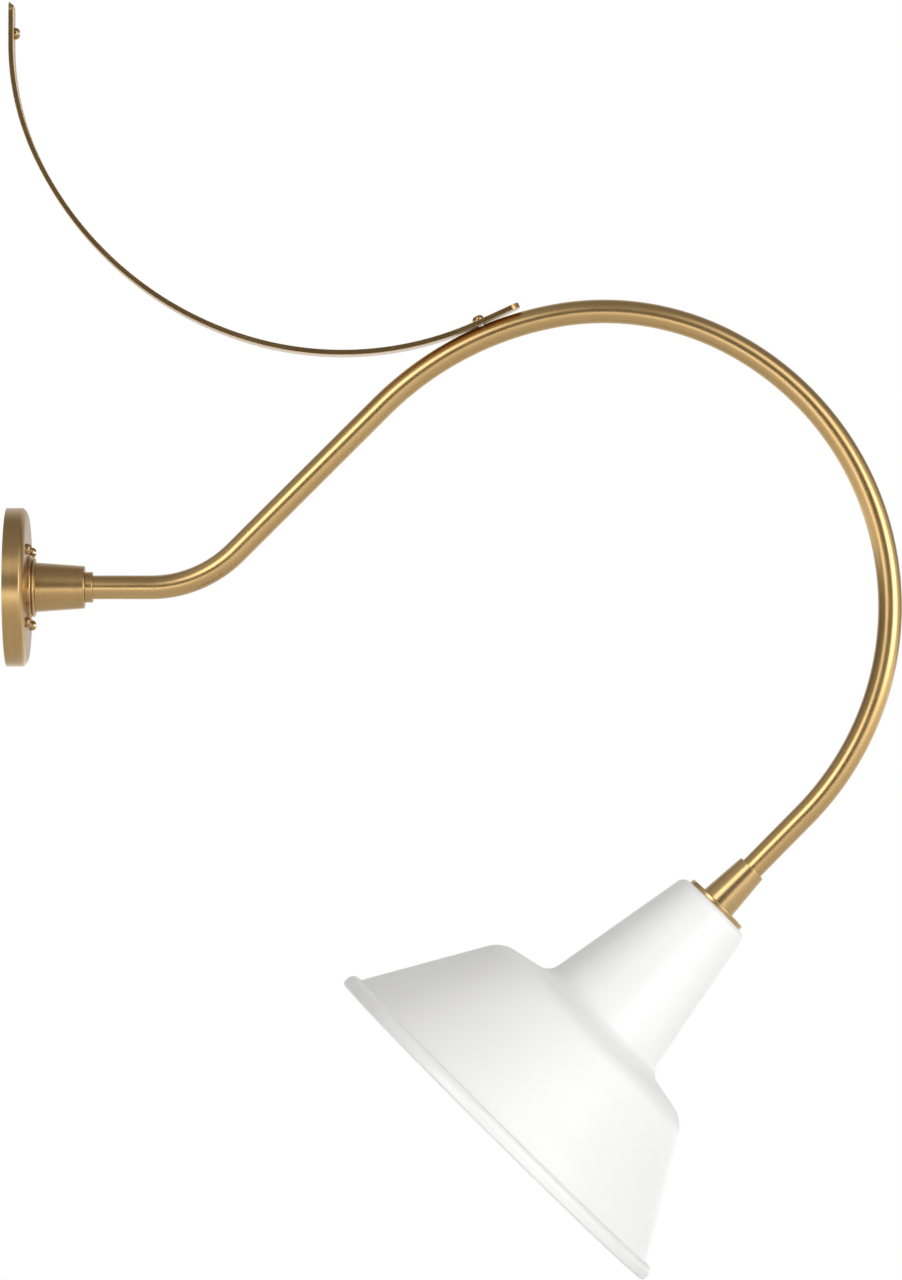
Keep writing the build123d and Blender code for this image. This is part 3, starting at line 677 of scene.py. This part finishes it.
strap_stations = walk((STRAP_GAP, strap_top_z), -90.0, strap_moves, 4.0)
strap_skin = Skin()
strap(
    strap_skin, strap_stations, STRAP_WIDTH, STRAP_THICKNESS, STRAP_CORNER, STRAP_EDGE, STRAP_BEVEL
)
place("strap_bent", strap_skin.mesh("strap_bent"), strap_brass, "fixture", "brace_strap")

wall_screw_at = Vector((STRAP_GAP + STRAP_THICKNESS, 0, strap_top_z - STRAP_SCREW_INSET))
wall_place = Matrix.Translation(wall_screw_at) @ OUT_OF_WALL
wall_head = slotted_heads("wall_screw_cut", [wall_place], 4.8, 4.5, 4.8)
place("wall_screw_cut", wall_head, screw_brass, "fixture", "brace_wall_screw")

tube_screw_at = on_tube + slope_up * STRAP_THICKNESS + slope_dir * TUBE_SCREW_SHIFT
tube_place = Matrix.Translation(tube_screw_at) @ Matrix.Rotation(-STRAP_SLOPE, 4, "Y")
tube_head = slotted_heads("tube_screw_cut", [tube_place], 4.8, 4.3, 10.2)
place("tube_screw_cut", tube_head, screw_brass, "fixture", "brace_tube_screw")

# ------------------------------------------------------------------ coupling and disc
DISC_TOP = -3.6
DISC_RADIUS = 27.2
COUPLING_TOP = -42.3
COUPLING_TOP_RADIUS, COUPLING_END_RADIUS = 12.2, 15.4
COUPLING_BORE = 13.0
TUBE_STOP_TOP = -26.3  # the tube ends on this shoulder
TUBE_STOP_END = -23.9
TUBE_STOP_BORE = 8.35

# the coupling and the disc take the lighter brass, a painted highlight
turned(
    "coupling_turned",
    [(COUPLING_TOP, TUBE_SEAT, 0.2), (COUPLING_TOP, COUPLING_TOP_RADIUS, 0.4),
     (DISC_TOP, COUPLING_END_RADIUS, 0.25), (DISC_TOP, COUPLING_BORE, 0.3),
     (TUBE_STOP_END, COUPLING_BORE, 0.4),
     (TUBE_STOP_END, TUBE_STOP_BORE, 0.2), (TUBE_STOP_TOP, TUBE_STOP_BORE, 0.2),
     (TUBE_STOP_TOP, TUBE_SEAT, 0.2)],
    painted_highlight_brass, "coupling_cone",
)
turned(
    "disc_turned",
    [(DISC_TOP, STEM_SEAT, 0.3), (DISC_TOP, DISC_RADIUS, 0.8), (0, DISC_RADIUS, 0.8),
     (0, STEM_SEAT, 0.3)],
    painted_highlight_brass, "cap_disc",
)

# ------------------------------------------------------------------ shade
SHADE_SHEET = 1.2
SHADE_LENGTH = 252.7
RIM_RADIUS = 168.3
RIM_HEM = 4.5
# from the hole in its flat top over the neck, the shoulder and the skirt to the hem
shade_outer = rounded(
    [(0, 5.2, 0), (0, 34.0, 8.0), (130.5, 57.4, 14.0), (139.6, 100.8, 27.5), (240.6, 159.7, 1.2),
     (241.7, RIM_RADIUS, 6.0), (SHADE_LENGTH, RIM_RADIUS, 2.5), (SHADE_LENGTH, RIM_RADIUS - RIM_HEM, 0)],
    step=5.0,
)
shade_closed = shade_outer + shifted(shade_outer, SHADE_SHEET)
turned("shade_spun", shade_closed, white_enamel, "shade", segments=256)

# ------------------------------------------------------------------ lampholder
CUP_TOP, CUP_END = 8.0, 32.0
CUP_RADIUS, CUP_SHEET = 20.2, 1.0
HOLDER_TOP, HOLDER_FLOOR, HOLDER_END = 26.0, 33.0, 60.0
HOLDER_RADIUS, HOLDER_BORE = 19.0, 14.2

turned(
    "holder_cup_pressed",
    [(CUP_TOP, STEM_SEAT, 0.2), (CUP_TOP, CUP_RADIUS, 5.0), (CUP_END, CUP_RADIUS, 0.3),
     (CUP_END, CUP_RADIUS - CUP_SHEET, 0.3), (CUP_TOP + CUP_SHEET, CUP_RADIUS - CUP_SHEET, 4.0),
     (CUP_TOP + CUP_SHEET, STEM_SEAT, 0.2)],
    turned_brass, "lampholder_cup",
)
turned(
    "holder_body_glazed",
    [(HOLDER_TOP, 0, 0), (HOLDER_TOP, HOLDER_RADIUS, 0.8), (HOLDER_END, HOLDER_RADIUS, 1.5),
     (HOLDER_END, HOLDER_BORE, 0.8), (HOLDER_FLOOR, HOLDER_BORE, 1.0), (HOLDER_FLOOR, 0, 0)],
    porcelain, "lampholder_body", closed=False,
)

THREAD_PITCH = 3.6286
THREAD_DEPTH = 0.33
THREAD_FADE = 1.5  # over this length a thread runs out at each end


def thread(first, last):
    """Radius change of a right-hand rolled thread between two distances along the axis."""

    def wave(s, theta):
        start, end = (s - first) / THREAD_FADE, (last - s) / THREAD_FADE
        fade = min(1.0, max(0.0, start), max(0.0, end))
        return -THREAD_DEPTH * fade * (0.5 - 0.5 * cos(2 * pi * (s / THREAD_PITCH - theta / (2 * pi))))

    return wave


def sleeve(first, last, radius, wall, step=0.3):
    """Closed outline of a thin sleeve with enough rows to carry a thread."""
    count = int((last - first) / step)
    rows = [first + (last - first) * k / count for k in range(count + 1)]
    outer = [(s, radius, 1.0, 0.0, 0.0) for s in rows]
    inner = [(s, radius - wall, -1.0, 0.0, 0.0) for s in reversed(rows)]
    return outer + inner


turned(
    "screw_shell_rolled", sleeve(HOLDER_FLOOR, 59.0, 13.75, 0.42), shell_brass,
    "screw_shell", segments=72, wave=thread(35.0, 57.5),
)
turned(
    "bulb_cap_rolled", sleeve(38.5, 60.0, 12.93, 0.4), cap_aluminium,
    "bulb_cap", body="bulb", segments=72, wave=thread(40.0, 58.0),
)


# ------------------------------------------------------------------ bulb
NECK_TOP, NECK_END = 52.0, 61.0
NECK_RADIUS = 12.45
GLOBE_RADIUS = 30.0
GLOBE_CENTRE = 113.0
GLOBE_START = 60  # degrees off the axis, where the globe takes over from the curve
SIDE_PIECES = 16
GLOBE_PIECES = 30


def bulb_side():
    """Half outline of the bulb's envelope: a neck, a Hermite curve that swells, and a globe."""
    c, s = cos(radians(GLOBE_START)), sin(radians(GLOBE_START))
    start = Vector((NECK_END, NECK_RADIUS))
    end = Vector((GLOBE_CENTRE - GLOBE_RADIUS * c, GLOBE_RADIUS * s))
    pull = (end - start).length
    first, second = Vector((pull, 0)), Vector((s, c)) * pull
    points = [
        (NECK_TOP, 0.0, 0.0, 1.0, 0.0),
        (NECK_TOP, NECK_RADIUS - 1.0, 0.0, 1.0, 0.0),
        (NECK_TOP + 1.0, NECK_RADIUS, 1.0, 0.0, 0.0),
    ]
    for k in range(SIDE_PIECES + 1):
        t = k / SIDE_PIECES
        at = (
            start * (2 * t**3 - 3 * t**2 + 1) + first * (t**3 - 2 * t**2 + t)
            + end * (3 * t**2 - 2 * t**3) + second * (t**3 - t**2)
        )
        along = (
            start * (6 * t**2 - 6 * t) + first * (3 * t**2 - 4 * t + 1)
            + end * (6 * t - 6 * t**2) + second * (3 * t**2 - 2 * t)
        ).normalized()
        points.append((at.x, at.y, along.x, along.y, 0.0))
    for k in range(1, GLOBE_PIECES):
        angle = radians((180 - GLOBE_START) * (1 - k / GLOBE_PIECES))
        c, s = cos(angle), sin(angle)
        points.append((GLOBE_CENTRE + GLOBE_RADIUS * c, GLOBE_RADIUS * s, s, -c, 0.0))
    points.append((GLOBE_CENTRE + GLOBE_RADIUS, 0.0, 0.0, -1.0, 0.0))
    return points


turned(
    "bulb_blown", bulb_side(), frosted_glass, "bulb_glass",
    body="bulb", closed=False, segments=96,
)

# ------------------------------------------------------------------ finishes on the CAD nodes that stay
kept_nodes = {
    zinc_steel: (
        "backing_disc", "plate_posts", "hub_stem", "stem_washer", "stem_locknut", "brace_insert",
        "shade_stem", "shade_washer", "shade_locknut",
    ),
    screw_brass: ("brace_wall_nut", "terminal_screws"),
    shell_brass: ("tube_end_bush", "centre_contact"),
    green_screw: ("ground_screw",),
    black_insulation: ("line_wire",),
    white_insulation: ("neutral_wire",),
    connector_nylon: ("wire_connectors",),
    black_glass: ("bulb_insulator",),
    solder_tip: ("bulb_contact",),
}
for material, names in kept_nodes.items():
    for name in names:
        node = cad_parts[name]
        if not node.material_slots:
            node.data.materials.append(material)
        for material_slot in node.material_slots:
            material_slot.material = material

# ------------------------------------------------------------------ floor
FLOOR_CENTRE = Vector((0.35, 0.0, -1.08))
FLOOR_SEGMENTS = 96
floor_mesh = bmesh.new()
floor_rows = []
for distance in (0.0, 0.5, 1.0, 2.0, 3.5, 5.0, 7.0, 9.0):
    count = 1 if distance == 0 else FLOOR_SEGMENTS
    turns = [2 * pi * k / FLOOR_SEGMENTS for k in range(count)]
    spots = [FLOOR_CENTRE + Vector((cos(turn), sin(turn), 0)) * distance for turn in turns]
    floor_rows.append([floor_mesh.verts.new(spot) for spot in spots])
for low, high in zip(floor_rows, floor_rows[1:]):
    for k in range(FLOOR_SEGMENTS):
        n = (k + 1) % FLOOR_SEGMENTS
        if len(low) == 1:
            floor_mesh.faces.new((low[0], high[k], high[n]))
        else:
            floor_mesh.faces.new((low[k], high[k], high[n], low[n]))
floor = bpy.data.objects.new("floor", bpy.data.meshes.new("floor"))
floor_mesh.to_mesh(floor.data)
floor_mesh.free()
scene.collection.objects.link(floor)

floor_paint = Paint("floor_paint", Roughness=0.9)
floor_tone = floor_paint.noise(floor_paint.position(), 1.4, 3.0, 0.5)
floor_paint.to("Base Color", floor_paint.mix(floor_tone, (0.74, 0.74, 0.74), (0.78, 0.78, 0.775)))
# it glows up to the backdrop's white with distance, so that no horizon shows
from_centre = {0: floor_paint.position(), 1: tuple(FLOOR_CENTRE)}
away = floor_paint.node("VectorMath", from_centre, operation="DISTANCE").outputs["Value"]
floor_paint.to("Emission Strength", floor_paint.fit(away, 1.0, 7.0, 0.24, 1.0))
floor_paint.shader.inputs["Emission Color"].default_value = (1, 1, 1, 1)
# the floor is clear from underneath, so that the shade can be looked into from below
underside = floor_paint.node("NewGeometry").outputs["Backfacing"]
clear = floor_paint.node("BsdfTransparent").outputs[0]
two_sided = floor_paint.node("MixShader", {0: underside, 1: floor_paint.shader.outputs[0], 2: clear})
floor_paint.tree.links.new(two_sided.outputs[0], floor_paint.tree.nodes["Material Output"].inputs[0])
floor.data.materials.append(floor_paint.material)

# ------------------------------------------------------------------ light
world = bpy.data.worlds.new("studio")
scene.world = world
world.use_nodes = True
tree = world.node_tree
tree.nodes.clear()
direction = tree.nodes.new("ShaderNodeTexCoord")
split = tree.nodes.new("ShaderNodeSeparateXYZ")
tree.links.new(direction.outputs["Generated"], split.inputs[0])


def stretch(source, low, high, to_low, to_high):
    """A smooth step of one value to another in the world's nodes."""
    made = tree.nodes.new("ShaderNodeMapRange")
    made.interpolation_type = "SMOOTHSTEP"
    for key, value in (("From Min", low), ("From Max", high), ("To Min", to_low), ("To Max", to_high)):
        made.inputs[key].default_value = value
    tree.links.new(source, made.inputs["Value"])
    return made.outputs["Result"]


def added(first, second):
    """The sum of two values in the world's nodes."""
    made = tree.nodes.new("ShaderNodeMath")
    made.operation = "ADD"
    tree.links.new(first, made.inputs[0])
    tree.links.new(second, made.inputs[1])
    return made.outputs[0]


def soft_spot(angle, across, up, core, edge, strength):
    """A round patch of light, angle degrees off the line to the camera, towards (across, up)."""
    reach = sin(radians(angle)) / hypot(across, up)
    centre = (across * reach, -cos(radians(angle)), up * reach)
    facing = tree.nodes.new("ShaderNodeVectorMath")
    facing.operation = "DOT_PRODUCT"
    tree.links.new(direction.outputs["Generated"], facing.inputs[0])
    facing.inputs[1].default_value = centre
    return stretch(facing.outputs["Value"], cos(radians(edge)), cos(radians(core)), 0.0, strength)


# the room is darker round the camera and brighter behind the picture light, with soft patches of light
room_light = stretch(split.outputs["Y"], -0.97, -0.55, -0.16, 0.0)
for part in (
    stretch(split.outputs["Y"], 0.35, 0.95, 0.0, 0.70),
    stretch(split.outputs["Z"], 0.25, 0.95, 0.0, 0.18),
    stretch(split.outputs["Z"], -0.8, 0.6, 0.22, 0.18),
    soft_spot(36, -0.66, 0.75, 5, 20, 4.4),
    soft_spot(48, 1.0, 0.0, 8, 26, 5.4),
    soft_spot(39, 0.1, -1.0, 4, 15, 5.0),
    soft_spot(32, 0.7, -0.7, 4, 15, 2.4),
    soft_spot(36, -1.0, -0.1, 4, 16, 2.8),
    soft_spot(44, 0.7, 0.7, 5, 22, 2.4),
    soft_spot(78, 1.0, 0.0, 15, 45, 0.8),
    soft_spot(78, -0.7, 0.7, 10, 40, 0.30),
):
    room_light = added(room_light, part)
room = tree.nodes.new("ShaderNodeBackground")
tree.links.new(room_light, room.inputs["Strength"])
backdrop = tree.nodes.new("ShaderNodeBackground")
backdrop.inputs["Color"].default_value = (1.0, 1.0, 1.0, 1.0)
seen = tree.nodes.new("ShaderNodeLightPath")
either = tree.nodes.new("ShaderNodeMixShader")
tree.links.new(seen.outputs["Is Camera Ray"], either.inputs[0])
tree.links.new(room.outputs[0], either.inputs[1])
tree.links.new(backdrop.outputs[0], either.inputs[2])
world_output = tree.nodes.new("ShaderNodeOutputWorld")
tree.links.new(either.outputs[0], world_output.inputs[0])


# one rectangular panel in front, low and to the left
PANEL_AT = Vector((-0.6, -3.2, -1.2))
PANEL_AIM = Vector((0.4, 0.0, -0.3))
PANEL_RADIANCE = 1.5
panel = bpy.data.lights.new("front_wide", "AREA")
panel.shape = "RECTANGLE"
panel.size, panel.size_y = 2.0, 1.4
panel.energy = PANEL_RADIANCE * pi * panel.size * panel.size_y
panel_holder = bpy.data.objects.new("front_wide", panel)
panel_holder.location = PANEL_AT
panel_holder.rotation_euler = (PANEL_AIM - PANEL_AT).to_track_quat("-Z", "Y").to_euler()
panel_holder.visible_camera = False
scene.collection.objects.link(panel_holder)

scene.view_settings.view_transform = "Standard"
scene.cycles.use_denoising = True
